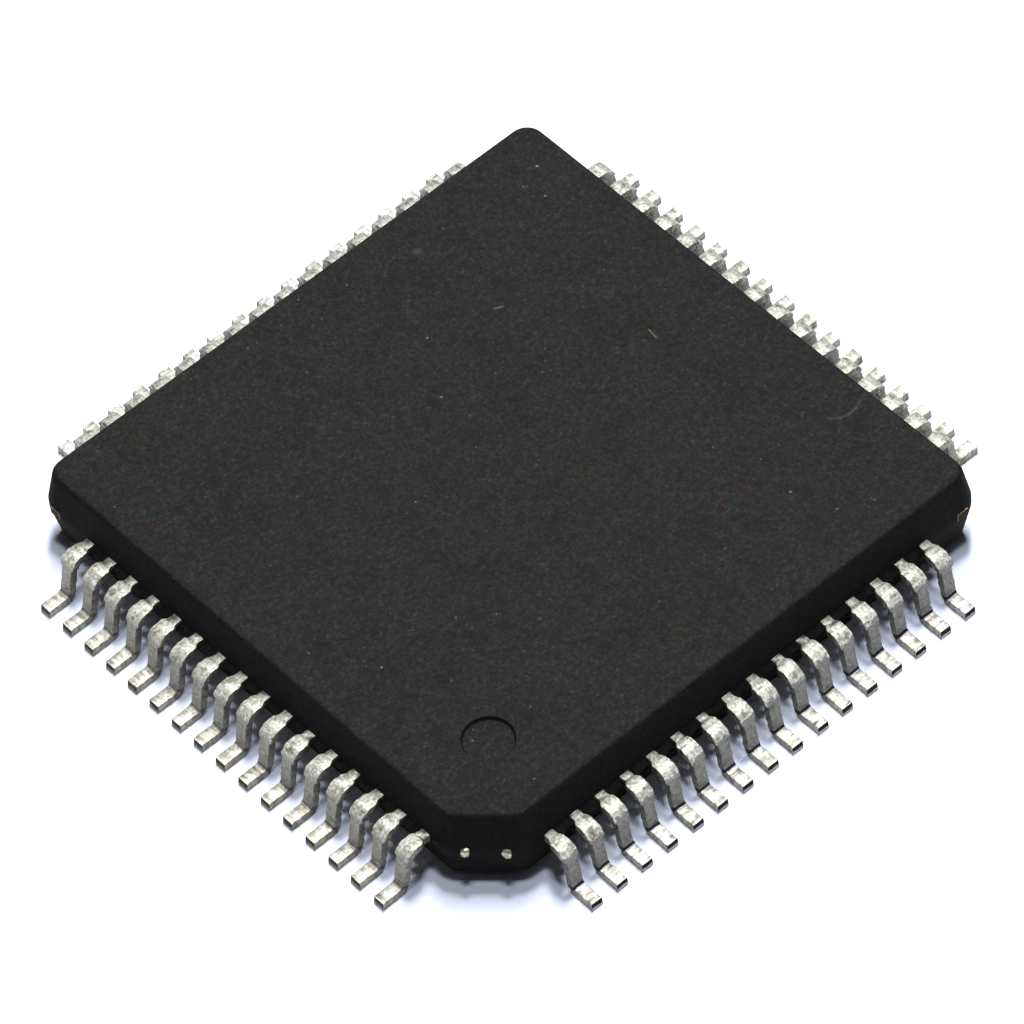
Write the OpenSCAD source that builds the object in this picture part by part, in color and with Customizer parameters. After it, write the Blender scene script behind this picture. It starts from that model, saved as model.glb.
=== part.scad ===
// Quad flat pack: a moulded body with gull-wing leads on its four sides.
// The frame has +Z up and its origin under the middle of the body, on the plane that the feet stand on.
// Pin 1 is the lead nearest the chamfered corner at -X -Y, on the -Y side. The pins count up
// anticlockwise from there, seen from above. All lengths are in millimetres.

/* [Body] */
// Width of the moulded body across its parting line, the same both ways
body_w = 10; // [9.8:0.1:10.4]
// Height of the moulded body
body_h = 1.4; // [1.3:0.05:1.5]
// Gap between the body and the plane that the feet stand on
standoff = 0.07; // [0.05:0.01:0.15]
// Draft of the moulded walls, in degrees
draft = 12; // [8:1:15]
// Rounding of the body's top and bottom edges
edge_r = 0.12; // [0.08:0.02:0.16]
// Radius of the body's upright corners at the parting line
corner_r = 0.42; // [0.36:0.01:0.48]
// Length that the pin 1 chamfer takes off each of its two sides
chamfer = 0.83; // [0.7:0.01:1]

/* [Moulded marks] */
// Diameter of the round pin 1 recess in the top
mark_d = 0.8; // [0.6:0.1:1.2]
// Depth of the pin 1 recess
mark_depth = 0.06; // [0.04:0.01:0.12]
// Distance from the body's sides to the middle of the pin 1 recess
mark_inset = 1.49; // [1.2:0.01:1.8]
// Diameter of the two ejector pin marks in the underside
ejector_d = 1; // [0.8:0.1:1.4]
// Depth of the ejector pin marks
ejector_depth = 0.03; // [0.02:0.01:0.05]
// Distance from the body's sides to the middle of each ejector pin mark
ejector_inset = 2.4; // [2:0.1:3]

/* [Leads] */
// Distance from lead to lead
pitch = 0.5; // [0.48:0.01:0.52]
// Width over the toes, the same both ways
span = 12; // [11.9:0.1:12.4]
// Thickness of the leadframe with its plating
lead_t = 0.14; // [0.12:0.01:0.16]
// Height of the leadframe's top above the plane that the feet stand on
lead_top = 0.87; // [0.84:0.01:0.9]
// Width of a lead where it leaves the body
root_w = 0.18; // [0.16:0.01:0.2]
// Width of a lead over the stubs of the cut dam bar
stub_w = 0.28; // [0.25:0.01:0.3]
// Width of the leg and the foot
leg_w = 0.21; // [0.18:0.01:0.23]
// Distance from the body to the start of the flare
flare_start = 0.12; // [0.1:0.01:0.14]
// Length of the flare
flare_l = 0.07; // [0.05:0.01:0.09]
// Distance from the body to the start of the shoulder bend
bend_start = 0.29; // [0.25:0.01:0.3]
// Inner radius of the shoulder bend
shoulder_r = 0.08; // [0.07:0.01:0.1]
// Inner radius of the bend between leg and foot
ankle_r = 0.08; // [0.06:0.01:0.1]
// Lean of the leg from upright, in degrees
leg_lean = 10; // [5:1:14]
// How far the sheared toe's top edge lies behind its bottom edge
toe_inset = 0.02; // [0:0.01:0.04]

/* [Leadframe inside the body] */
// Distance from the middle to the tips of the inner fingers
tip_reach = 2.95; // [2.9:0.05:3.1]
// Distance from tip to tip
tip_pitch = 0.3; // [0.28:0.01:0.32]
// Width of a finger at its tip
tip_w = 0.16; // [0.12:0.01:0.18]
// Gap between a tie bar's fork and the leads beside it
fork_gap = 0.06; // [0.04:0.01:0.08]
// Length of a tie bar's fork inside the body
fork_l = 0.75; // [0.6:0.05:0.9]
// Width of the square die pad
pad_w = 5; // [4.6:0.1:5.2]
// How far the die pad is set down below the leads
downset = 0.2; // [0.16:0.02:0.24]
// Width of the tie bars that carry the die pad
tie_w = 0.25; // [0.2:0.01:0.28]
// Width of each prong of a tie bar's fork
prong_w = 0.14; // [0.1:0.01:0.16]
// Distance between the two prongs, middle to middle
prong_gap = 0.6; // [0.56:0.02:0.62]
// How far the sheared prongs stand out of the body
prong_out = 0.07; // [0.02:0.01:0.1]

/* [Die and wires] */
// Width of the square die
die_w = 3.6; // [3.2:0.1:4]
// Thickness of the die
die_t = 0.28; // [0.2:0.02:0.3]
// Thickness of the die attach layer
attach_t = 0.03; // [0.02:0.01:0.04]
// How far the die attach shows past the die on each side
attach_fillet = 0.1; // [0.05:0.05:0.2]
// Distance from bond pad to bond pad on the die
bond_pitch = 0.2; // [0.18:0.01:0.21]
// Distance from the die's edge to its bond pads
bond_inset = 0.1; // [0.08:0.01:0.14]
// Thickness of a bond wire
wire_t = 0.03; // [0.02:0.005:0.04]
// Height of the wire loops above the die
loop_h = 0.14; // [0.1:0.01:0.16]
// Distance from a finger's tip to the end of its wire
wire_inset = 0.2; // [0.15:0.01:0.25]

/* [Hidden] */
per_side = 16;              // leads on each side
leads_per_node = 2;
wires_per_node = 4;
face_step = 15;             // turn from one flat of a rounded corner to the next
edge_steps = 3;             // flats in a rounded edge of the body
bend_steps = 4;             // flats in a bend of a lead
mark_sides = 48;            // sides of the round moulded marks

n_leads = 4 * per_side;
body_half = body_w / 2;
body_top = standoff + body_h;
lead_bottom = lead_top - lead_t;
pad_bottom = lead_bottom - downset;
pad_top = pad_bottom + lead_t;
attach_top = pad_top + attach_t;
die_top = attach_top + die_t;
bond_reach = die_w / 2 - bond_inset;
chamfer_reach = (body_w - chamfer) / sqrt(2);   // from the middle to the pin 1 chamfer
fork_half = (prong_gap + prong_w) / 2;
row_half = (per_side - 1) / 2 * pitch + root_w / 2;
// Distance from the middle to the knees of the fingers, so that the rows clear the tie bars
knee_reach = row_half + (fork_half + fork_gap) * sqrt(2);

// Shoulder bend: its centre, and the direction out of the leg's outer face
shoulder = [body_half + bend_start, lead_bottom - shoulder_r];
leg_normal = [cos(leg_lean), sin(leg_lean)];
// Ankle bend: its centre, so that the foot's underside lies at z = 0
leg_start = shoulder + (shoulder_r + lead_t) * leg_normal;
leg_l = (leg_start[1] - lead_t - ankle_r * (1 - sin(leg_lean))) / cos(leg_lean);
ankle = [leg_start[0] + leg_l * sin(leg_lean) + ankle_r * cos(leg_lean), lead_t + ankle_r];
toe = span / 2;

function two_digits(n) = str(n < 10 ? "0" : "", n);
function group_name(what, first, size) =
    str(what, "_", two_digits(first), "_", two_digits(first + size - 1));
lead_groups = [for (p = [1:leads_per_node:n_leads]) p];
wire_groups = [for (p = [1:wires_per_node:n_leads]) p];

function reversed(points) = [for (i = [len(points) - 1:-1:0]) points[i]];
// Points of an arc round centre, from one angle to another
function arc(centre, r, from, to, steps) =
    [for (i = [0:steps]) let (a = from + (to - from) * i / steps) centre + r * [cos(a), sin(a)]];
// Place along a side of the pin-th lead, for a given distance from one to the next
function along(pin, step) = ((pin - 1) % per_side - (per_side - 1) / 2) * step;

// Turns a lead drawn pointing along +X to the side that the pin is on
module on_side(pin) {
    rotate(90 * (floor((pin - 1) / per_side) - 1)) children();
}

// Stands an outline drawn in x and z upright, w wide about y = 0
module upright(w, points) {
    rotate([90, 0, 0]) linear_extrude(w, center = true) polygon(points);
}

// ---- Moulded body ----

// Middles of the rounded corners of the body's outline at the parting line
corner_in = body_half - corner_r;
cut_in = (chamfer_reach - corner_r) * sqrt(2) - corner_in;
corner_centres = [[corner_in, corner_in], [-corner_in, corner_in], [-corner_in, -cut_in],
    [-cut_in, -corner_in], [corner_in, -corner_in]];
// Distance from the middle to the flat of the outline that faces angle a
function reach(a) = corner_r + max([for (c = corner_centres) c * [cos(a), sin(a)]]);

// Half section of the body behind a flat: drafted walls that meet at the leadframe, rounded edges
function section(r) =
    let (top_z = body_top - edge_r,
         bottom_z = standoff + edge_r,
         top_x = r - (top_z - lead_top) * tan(draft) - edge_r / cos(draft),
         bottom_x = r - (lead_bottom - bottom_z) * tan(draft) - edge_r / cos(draft))
    concat([[-body_w, body_top], [-body_w, standoff]],
        arc([bottom_x, bottom_z], edge_r, -90, -draft, edge_steps),
        [[r, lead_bottom], [r, lead_top]],
        arc([top_x, top_z], edge_r, draft, 90, edge_steps));

// The four walls first, then the flats of the rounded corners between them
module mould_form() {
    faces = [for (turn = [0:face_step:90 - face_step], side = [0:90:270]) side + turn];
    intersection_for (a = faces) rotate(a) upright(2 * body_w, section(reach(a)));
}

module round_mark(at, z, d, depth) {
    translate([at, at, z]) cylinder(d = d, h = depth, $fn = mark_sides);
}

module mould_body() {
    mark_at = mark_inset - body_half;
    ejector_at = body_half - ejector_inset;
    color([0.17, 0.17, 0.17]) difference() {
        mould_form();
        round_mark(mark_at, body_top - mark_depth, mark_d, 2 * mark_depth);
        for (at = [-ejector_at, ejector_at])
            round_mark(at, standoff - ejector_depth, ejector_d, 2 * ejector_depth);
        for (pin = [1:n_leads]) {
            finger(pin);
            bond_wire(pin);
        }
        pad_metal();
        attach_layer();
        die_block();
    }
}

// ---- Leads ----

// Flat of a lead ahead of its bend: inner finger, root, flare and dam bar stub, in plan
module finger(pin) {
    root = along(pin, pitch);
    tip = along(pin, tip_pitch);
    edge = function(side) [
        [tip_reach, tip + side * tip_w / 2],
        [knee_reach, root + side * root_w / 2],
        [body_half + flare_start, root + side * root_w / 2],
        [body_half + flare_start + flare_l, root + side * stub_w / 2],
        [body_half + bend_start, root + side * stub_w / 2]];
    on_side(pin) translate([0, 0, lead_bottom]) linear_extrude(lead_t)
        polygon(concat(edge(-1), reversed(edge(1))));
}

// Shoulder bend, still as wide as the dam bar stubs
shoulder_section = concat(
    arc(shoulder, shoulder_r + lead_t, 90, leg_lean, bend_steps),
    arc(shoulder, shoulder_r, leg_lean, 90, bend_steps));

// Leg, ankle bend and foot, from the shoulder to the sheared toe
leg_section = concat(
    [leg_start],
    arc(ankle, ankle_r, 180 + leg_lean, 270, bend_steps),
    [[toe - toe_inset, lead_t], [toe, 0]],
    arc(ankle, ankle_r + lead_t, 270, 180 + leg_lean, bend_steps),
    [shoulder + shoulder_r * leg_normal]);

module lead(pin) {
    finger(pin);
    on_side(pin) translate([0, along(pin, pitch), 0]) {
        upright(stub_w, shoulder_section);
        upright(leg_w, leg_section);
    }
}

module lead_group(first) {
    color([0.8, 0.8, 0.78]) for (pin = [first:first + leads_per_node - 1]) lead(pin);
}

// ---- Die pad ----

// Outline of the body in plan, grown by g and with sharp corners
function body_outline(g) =
    let (h = body_half + g, c = (chamfer_reach + g) * sqrt(2) - h)
    [[h, h], [-h, h], [-h, -c], [-c, -h], [h, -h]];

// One tie bar along +X: a ramp up from the pad to the leads' level, then a fork
module tie_bar() {
    corner = pad_w / sqrt(2);
    ramp_end = corner + 2 * downset;
    fork = chamfer_reach - fork_l;
    far = body_w;
    upright(tie_w, [[corner - tie_w, pad_bottom], [corner, pad_bottom], [ramp_end, lead_bottom],
        [fork, lead_bottom], [fork, lead_top], [ramp_end, lead_top], [corner, pad_top],
        [corner - tie_w, pad_top]]);
    inner = fork_half - prong_w;
    half_fork = [[fork, tie_w / 2], [fork + prong_w, fork_half], [far, fork_half], [far, inner],
        [fork + 2 * prong_w, inner]];
    translate([0, 0, lead_bottom]) linear_extrude(lead_t)
        polygon(concat(half_fork, reversed([for (p = half_fork) [p[0], -p[1]]])));
}

// Pad with its four tie bars, sheared off just outside the body
module pad_metal() {
    intersection() {
        union() {
            translate([-pad_w / 2, -pad_w / 2, pad_bottom]) cube([pad_w, pad_w, lead_t]);
            for (a = [45:90:315]) rotate(a) tie_bar();
        }
        linear_extrude(body_top) polygon(body_outline(prong_out));
    }
}

module die_pad() {
    color([0.78, 0.74, 0.66]) pad_metal();
}

// ---- Die and its wires ----

module attach_layer() {
    w = die_w + 2 * attach_fillet;
    translate([-w / 2, -w / 2, pad_top]) cube([w, w, attach_t]);
}

module die_block() {
    translate([-die_w / 2, -die_w / 2, attach_top]) cube([die_w, die_w, die_t]);
}

module die_attach() {
    color([0.75, 0.75, 0.72]) attach_layer();
}

module die() {
    color([0.35, 0.38, 0.45]) die_block();
}

// A wire rises from its bond pad and slopes down, over the die's edge, to its finger
module bond_wire(pin) {
    landing = tip_reach + wire_inset;
    share = wire_inset / (knee_reach - tip_reach);
    from = [bond_reach, along(pin, bond_pitch)];
    to = [landing, along(pin, tip_pitch + share * (pitch - tip_pitch))];
    run = norm(to - from);
    loop_top = die_top + loop_h;
    on_side(pin) translate([from[0], from[1], 0])
        rotate(atan2(to[1] - from[1], to[0] - from[0]))
            upright(wire_t, [[-wire_t / 2, die_top], [wire_t / 2, die_top],
                [wire_t / 2, loop_top - wire_t], [run - wire_t, lead_top],
                [run, lead_top], [-wire_t / 2, loop_top]]);
}

module wire_group(first) {
    color([0.85, 0.7, 0.3]) for (pin = [first:first + wires_per_node - 1]) bond_wire(pin);
}

mould_body();
die_pad();
die_attach();
die();
for (p = lead_groups)
    lead_group(p);
for (p = wire_groups)
    wire_group(p);
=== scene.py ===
"""Dresses the quad flat pack: moulded body, tinned gull-wing leads, sheared tie bars, stage and camera."""

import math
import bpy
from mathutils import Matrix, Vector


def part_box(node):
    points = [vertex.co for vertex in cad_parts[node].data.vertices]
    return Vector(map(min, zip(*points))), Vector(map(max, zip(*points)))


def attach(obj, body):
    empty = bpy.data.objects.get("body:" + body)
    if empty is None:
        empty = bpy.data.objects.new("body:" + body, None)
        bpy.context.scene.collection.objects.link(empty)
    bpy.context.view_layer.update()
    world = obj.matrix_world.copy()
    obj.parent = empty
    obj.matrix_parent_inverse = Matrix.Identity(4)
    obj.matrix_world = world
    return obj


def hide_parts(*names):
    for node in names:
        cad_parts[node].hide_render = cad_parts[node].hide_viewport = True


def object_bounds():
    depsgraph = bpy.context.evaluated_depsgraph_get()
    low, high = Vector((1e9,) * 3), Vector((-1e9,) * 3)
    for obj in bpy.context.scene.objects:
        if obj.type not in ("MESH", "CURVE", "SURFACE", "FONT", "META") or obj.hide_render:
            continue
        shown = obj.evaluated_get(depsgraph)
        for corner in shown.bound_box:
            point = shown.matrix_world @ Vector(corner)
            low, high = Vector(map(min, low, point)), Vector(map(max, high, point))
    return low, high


bl_info = {
    "name": "Quad Flat Pack",
    "version": (1, 0, 0),
    "blender": (4, 5, 0),
    "location": "View3D > Sidebar > Quad Flat Pack",
    "description": "Finishes a quad flat pack and sets it on a plain stage",
    "category": "Add Mesh",
}

import bmesh
import bpy
from bpy.props import FloatProperty, FloatVectorProperty, IntProperty, PointerProperty
from mathutils import Matrix, Vector, noise

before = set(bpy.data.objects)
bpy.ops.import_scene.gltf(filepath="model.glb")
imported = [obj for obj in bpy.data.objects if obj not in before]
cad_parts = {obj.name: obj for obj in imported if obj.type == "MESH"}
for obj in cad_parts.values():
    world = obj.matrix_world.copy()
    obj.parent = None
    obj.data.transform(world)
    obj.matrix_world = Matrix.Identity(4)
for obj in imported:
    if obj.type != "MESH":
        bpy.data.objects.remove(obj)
CAD_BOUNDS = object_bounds()
MM = 0.001
BODY = "root"
BODY_LOW, BODY_HIGH = (Vector(corner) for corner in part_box("mould_body"))
LEAD_NODES = sorted(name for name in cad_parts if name.startswith("leads_"))
WIRE_NODES = sorted(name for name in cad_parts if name.startswith("bond_wires_"))
LEAD_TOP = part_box(LEAD_NODES[0])[1][2]
TOE_REACH = CAD_BOUNDS[1][0]

# How far inside the wall the bent part of each lead starts, and how close points are that are merged
ROOT_DEPTH = 0.1 * MM
MERGE = 0.0001 * MM

# Material slots of the die pad and its tie bars, after the bare metal in slot 0
CRUMPLED, TARNISHED = 1, 2


# ---- Settings ----


def length(name, description, mm, lowest=0.0, highest=20.0):
    """A length property, stated in millimetres and kept in metres."""
    return FloatProperty(
        name=name, description=description, default=mm * MM, min=lowest * MM, max=highest * MM,
        precision=6, subtype="DISTANCE", unit="LENGTH",
    )


def colour(name, description, code):
    """A colour property, stated as an sRGB hex code and kept linear."""
    return FloatVectorProperty(
        name=name, description=description, default=linear(code), size=4, min=0.0, max=1.0, subtype="COLOR",
    )


def angle(name, description, degrees):
    """An angle property, stated in degrees."""
    return FloatProperty(name=name, description=description, default=math.radians(degrees), subtype="ANGLE")


def strength(name, description, value):
    """A property for a power or a brightness."""
    return FloatProperty(name=name, description=description, default=value, min=0.0)


def linear(code):
    """The linear colour of an sRGB hex code."""
    channels = (int(code[i : i + 2], 16) / 255 for i in (1, 3, 5))
    return tuple(c / 12.92 if c <= 0.04045 else ((c + 0.055) / 1.055) ** 2.4 for c in channels) + (1.0,)


def grey(level):
    """A grey of a linear level."""
    return (level, level, level, 1.0)


class FlatPackBody(bpy.types.PropertyGroup):
    """Sizes and colours of the moulded body."""

    lead_thickness: length("Parting band", "Height of the upright band at the parting line", 0.14)
    edge_radius: length("Edge radius", "Rounding of the top and bottom edges", 0.12)
    corner_radius: length("Corner radius", "Radius of the upright corners at the parting line", 0.42)
    chamfer: length("Pin 1 chamfer", "Length that the chamfer takes off each of its two sides", 0.83)
    draft: angle("Draft", "Lean of the moulded walls", 12)
    mark_diameter: length("Pin 1 mark", "Diameter of the round recess in the top", 0.8)
    mark_depth: length("Pin 1 mark depth", "Depth of the round recess", 0.06)
    mark_inset: length("Pin 1 mark inset", "Distance from the body's sides to the middle of the recess", 1.49)
    ejector_diameter: length("Ejector mark", "Diameter of the ejector pin marks in the underside", 1.0)
    ejector_depth: length("Ejector mark depth", "Depth of the ejector pin marks", 0.03)
    ejector_inset: length("Ejector mark inset", "Distance from the body's sides to each ejector mark", 2.4)
    flash_reach: length("Resin flash", "How far the resin between the leads stands out of the body", 0.11)
    prong_width: length("Tie bar prong", "Width of each prong of the tie bars", 0.14)
    prong_spacing: length("Prong spacing", "Distance between the middles of a tie bar's two prongs", 0.6)
    compound: colour("Compound", "Colour of the moulding compound", "#272727")
    filler: colour("Filler grains", "Colour of the pale grains in the compound's skin", "#b3ae9c")


class FlatPackLeads(bpy.types.PropertyGroup):
    """Sizes and colours of the leads."""

    pitch: length("Pitch", "Distance from lead to lead", 0.5)
    per_side: IntProperty(name="Leads a side", description="Leads on each side", default=16, min=1)
    thickness: length("Thickness", "Thickness of the leadframe", 0.14)
    root_width: length("Root width", "Width of a lead where it leaves the body", 0.18)
    stub_width: length("Stub width", "Width over the stubs of the cut dam bar", 0.28)
    leg_width: length("Leg width", "Width of the leg and the foot", 0.21)
    flare_start: length("Flare start", "Distance from the body to the start of the flare", 0.12)
    flare_length: length("Flare length", "Length of the flare", 0.07)
    bend_start: length("Bend start", "Distance from the body to the start of the shoulder bend", 0.29)
    shoulder_radius: length("Shoulder radius", "Inner radius of the shoulder bend", 0.08)
    ankle_radius: length("Ankle radius", "Inner radius of the bend between leg and foot", 0.08)
    leg_lean: angle("Leg lean", "Lean of the leg from upright", 10)
    toe_inset: length("Toe inset", "How far the toe's top edge lies behind its bottom edge", 0.02)
    edge_softness: length("Edge softness", "Rounding of the stamped edges under the plating", 0.01)
    ring_spacing: length("Ring spacing", "Distance between the mesh's rings along a lead", 0.014)
    unevenness: length("Unevenness", "Height of the plating's uneven surface", 0.04)
    seed: IntProperty(name="Seed", description="Seed of the small differences between leads", default=7)
    tin: colour("Tin", "Colour of the matte tin plating", "#dfdfdb")
    sheared: colour("Sheared metal", "Colour of the broken part of a cut end", "#24140f")


class FlatPackStage(bpy.types.PropertyGroup):
    """Light, floor and camera."""

    azimuth: angle("Azimuth", "Turn of the camera about the part", -37.9047)
    elevation: angle("Elevation", "Height of the camera over the floor", 51.5742)
    roll: angle("Roll", "Turn of the camera about its own axis", -5.4747)
    distance: length("Distance", "Distance from the camera to its target", 119.0777, highest=1000)
    target: FloatVectorProperty(
        name="Target", description="Point that the camera looks at",
        default=(-0.2441 * MM, -0.3763 * MM, 1.02 * MM), subtype="XYZ", unit="LENGTH",
    )
    lens: FloatProperty(name="Lens", description="Focal length on a 36 mm sensor, in mm", default=281.94)
    floor: colour("Floor", "Colour of the paper on the floor", "#f2f2f4")
    paper_white: FloatVectorProperty(
        name="Paper white", description="Colour of the paper as the camera sees it, over 1 to burn it out",
        default=(1.38, 1.48, 1.82, 1.0), size=4, min=0.0, max=4.0, subtype="COLOR",
    )
    lamp_turn: angle("Lamp turn", "Turn of the lamps about the part, anticlockwise from +X", 44)
    front_lamp: strength("Front lamp", "Power of the narrow lamp at the front, in watts", 0.019)
    back_lamp: strength("Back lamp", "Power of the narrow lamp at the back, in watts", 0.026)
    softbox: strength("Softbox", "Power of the wide lamp, in watts", 0.06)
    lamp_width: length("Lamp width", "Width of each narrow lamp", 9, highest=1000)
    softbox_width: length("Softbox width", "Width of the wide lamp", 38, highest=1000)
    lamp_length: length("Lamp length", "Length of every lamp, from left to right", 16, highest=1000)
    lamp_aside: length("Lamp offset", "How far right of the part the lamps lie", 4, -1000, 1000)
    lamp_distance: length("Lamp distance", "Distance from the part to the lamps", 100, highest=1000)
    surround: strength("Surround", "Brightness of the light from all round", 0.006)


# ---- Helpers ----


# Kinds of node
MATH, VECTOR_MATH, NOISE = "ShaderNodeMath", "ShaderNodeVectorMath", "ShaderNodeTexNoise"
RAMP, MIX, PARTS = "ShaderNodeValToRGB", "ShaderNodeMix", "ShaderNodeSeparateXYZ"


def feed(tree, node, inputs):
    """Feeds a node's inputs, in their order or by name or number, from values, sockets or other nodes.

    A node stands for its first live output. A mix of colours has its factor at 0 and its colours at 6 and 7.
    """
    for key, value in inputs.items() if isinstance(inputs, dict) else enumerate(inputs):
        if isinstance(value, bpy.types.Node):
            value = next(socket for socket in value.outputs if socket.enabled)
        if isinstance(value, bpy.types.NodeSocket):
            tree.links.new(value, node.inputs[key])
        else:
            node.inputs[key].default_value = value


def add(tree, kind, inputs=(), stops=(), **settings):
    """Adds a node with its settings and its inputs, and on a colour ramp its stops.

    A stop is a position and a shade: a hex code, a grey level or a linear colour.
    """
    node = tree.nodes.new(kind)
    for name, value in settings.items():
        setattr(node, name, value)
    feed(tree, node, inputs)
    elements = node.color_ramp.elements if stops else ()
    while len(elements) < len(stops):
        elements.new(0.5)
    for element, (position, shade) in zip(elements, stops):
        shade = linear(shade) if isinstance(shade, str) else shade
        element.position = position
        element.color = grey(shade) if isinstance(shade, float) else shade
    return node


def new_material(name, kind="ShaderNodeBsdfPrincipled"):
    """An empty node material, its tree and a surface joined to its output."""
    material = bpy.data.materials.new(name)
    material.use_nodes = True
    tree = material.node_tree
    tree.nodes.clear()
    surface = add(tree, kind)
    add(tree, "ShaderNodeOutputMaterial", {"Surface": surface})
    return material, tree, surface


def millimetres(tree):
    """The object's own coordinates, in millimetres."""
    place = add(tree, "ShaderNodeTexCoord").outputs["Object"]
    return add(tree, VECTOR_MATH, {0: place, "Scale": 1 / MM}, operation="SCALE")


def finish_piece(piece, replaces=()):
    """Hangs a piece under the body's empty and hides the CAD parts that it replaces."""
    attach(piece, BODY)
    if replaces:
        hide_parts(*replaces)


def new_object(name, data):
    """A new object in the scene, at the origin. A piece's mesh holds its own place."""
    made = bpy.data.objects.new(name, data)
    bpy.context.scene.collection.objects.link(made)
    return made


def as_data(mesh, name):
    """Mesh data of a working mesh, which is freed."""
    data = bpy.data.meshes.new(name)
    mesh.to_mesh(data)
    mesh.free()
    return data


# ---- Materials ----


# Scuffs on the top: points that each runs through, (x, y), its half width, both in mm, and its strength
SCUFFS = (
    (((1.87, 4.1), (1.92, 4.08)), 0.07, 0.16),
    (((1.97, 2.43), (2.09, 2.37)), 0.02, 0.5),
    (((3.345, 0.47), (3.318, 0.28)), 0.016, 0.5),
    (((4.07, -2.67), (4.2, -2.79), (4.35, -2.83), (4.5, -2.82), (4.63, -2.765)), 0.034, 0.14),
)

# A pale flake of resin on the wall beside pin 64, in the same terms, and its height above the soles
FLAKE = ((((-5.0, -3.905), (-5.0, -3.97)), 0.016, 0.45),)
FLAKE_HEIGHT = 0.768

# Brown smears, in the same terms: one across the foot of pin 1 and one on the shoulder of pin 2
SMEARS = (
    (((-3.82, -5.825), (-3.755, -5.808), (-3.69, -5.822)), 0.014, 0.9),
    (((-3.33, -5.44), (-3.25, -5.465)), 0.035, 0.35),
)


def from_line(tree, place, start, end):
    """Distance of a place from a straight line between two points, both seen from above."""
    start, end = Vector((*start, 0)), Vector((*end, 0))
    run = end - start
    place = add(tree, VECTOR_MATH, (place, start), operation="SUBTRACT")
    place = add(tree, VECTOR_MATH, (place, (1, 1, 0)), operation="MULTIPLY")
    share = add(tree, VECTOR_MATH, (place, run / run.length_squared), operation="DOT_PRODUCT")
    share = add(tree, "ShaderNodeClamp", (share,))
    foot = add(tree, VECTOR_MATH, {0: run, "Scale": share}, operation="SCALE")
    return add(tree, VECTOR_MATH, (place, foot), operation="DISTANCE")


def with_marks(tree, place, wander, skin, marks, shade, where):
    """A skin with marks drawn over it in one shade, wherever where is 1."""
    for points, width, most in marks:
        full, gone = 0.7 * width, 1.6 * width
        for start, end in zip(points, points[1:]):
            away = from_line(tree, place, start, end)
            away = add(tree, MATH, (wander, width, away), operation="MULTIPLY_ADD")
            mark = add(tree, "ShaderNodeMapRange", (away, full, gone, most, 0.0))
            mark = add(tree, MATH, (mark, where), operation="MULTIPLY")
            skin = add(tree, MIX, {0: mark, 6: skin, 7: linear(shade)}, data_type="RGBA")
    return skin


def moulding_compound(body):
    """Silica-filled epoxy from a spark-eroded mould: matte, near-black, finely grained, with pale specks."""
    material, tree, surface = new_material("moulding_compound")
    place = millimetres(tree)
    # Pits of the eroded mould, about 0.03 mm across, and the resin's faint mottle, up to 0.2 mm across
    grain = add(tree, NOISE, {"Vector": place, "Scale": 18, "Detail": 4, "Roughness": 0.75})
    mottle = add(tree, NOISE, {"Vector": place, "Scale": 6, "Detail": 3, "Roughness": 0.65})
    shades = [(0.3, "#1a1a1a"), (0.5, body.compound[:]), (0.64, "#363634"), (0.8, "#62625a")]
    skin = add(tree, RAMP, (grain,), stops=shades)
    cloud = add(tree, NOISE, {"Vector": place, "Scale": 1.6, "Detail": 3, "Roughness": 0.6})
    for share, shade in ((0.5, mottle.outputs["Color"]), (0.35, cloud)):
        tint = add(tree, MIX, {0: share, 6: grey(0.5), 7: shade}, data_type="RGBA")
        skin = add(tree, MIX, {0: 1.0, 6: skin, 7: tint}, data_type="RGBA", blend_type="OVERLAY")
    # Filler grains of about 0.03 mm, a few to each square millimetre, each its own shade: cells to the
    # millimetre, the share left empty, the grain's radius in its cell and its strongest tint
    for scale, empty, size, most in ((2.2, 0.5, 0.035, 0.7), (6, 0.82, 0.075, 0.3)):
        cells = add(tree, "ShaderNodeTexVoronoi", {"Vector": place, "Scale": scale}, feature="F1").outputs
        pick = add(tree, PARTS, (cells["Color"],)).outputs
        lucky = add(tree, MATH, (pick[0], empty), operation="GREATER_THAN")
        near = add(tree, RAMP, (cells["Distance"],), stops=[(size, 1.0), (size * 1.8, 0.0)])
        shade = add(tree, MATH, (pick[1], 2.5), operation="POWER")
        speck = lucky
        for factor in (near, shade, most):
            speck = add(tree, MATH, (speck, factor), operation="MULTIPLY")
        skin = add(tree, MIX, {0: speck, 6: skin, 7: body.filler[:]}, data_type="RGBA")
    # Scuffs from handling, on the top alone, and the flake, at its height alone
    height = add(tree, PARTS, (place,)).outputs[2]
    on_top = add(tree, MATH, (height, BODY_HIGH.z / MM - 0.02), operation="GREATER_THAN")
    skin = with_marks(tree, place, grain, skin, SCUFFS, "#8a8a80", on_top)
    beside = add(tree, MATH, (height, FLAKE_HEIGHT, 0.018), operation="COMPARE")
    skin = with_marks(tree, place, grain, skin, FLAKE, "#b8ac98", beside)
    # Painted shade: the drafted walls and the rounded edges, which face away from up, are drawn darker and a
    # little cooler than the top
    normal = add(tree, "ShaderNodeNewGeometry").outputs["Normal"]
    up = add(tree, PARTS, (normal,)).outputs[2]
    wall = add(tree, RAMP, (up,), stops=[(0.3, "#a3a6b0"), (0.82, "#a09a9c"), (0.97, 1.0)])
    skin = add(tree, MIX, {0: 1.0, 6: skin, 7: wall}, data_type="RGBA", blend_type="MULTIPLY")
    bump = add(tree, "ShaderNodeBump", {"Height": grain, "Strength": 0.6, "Distance": 0.01 * MM})
    feed(tree, surface, {"Base Color": skin, "Normal": bump, "Roughness": 0.7, "Specular IOR Level": 0.08})
    return material


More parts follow.
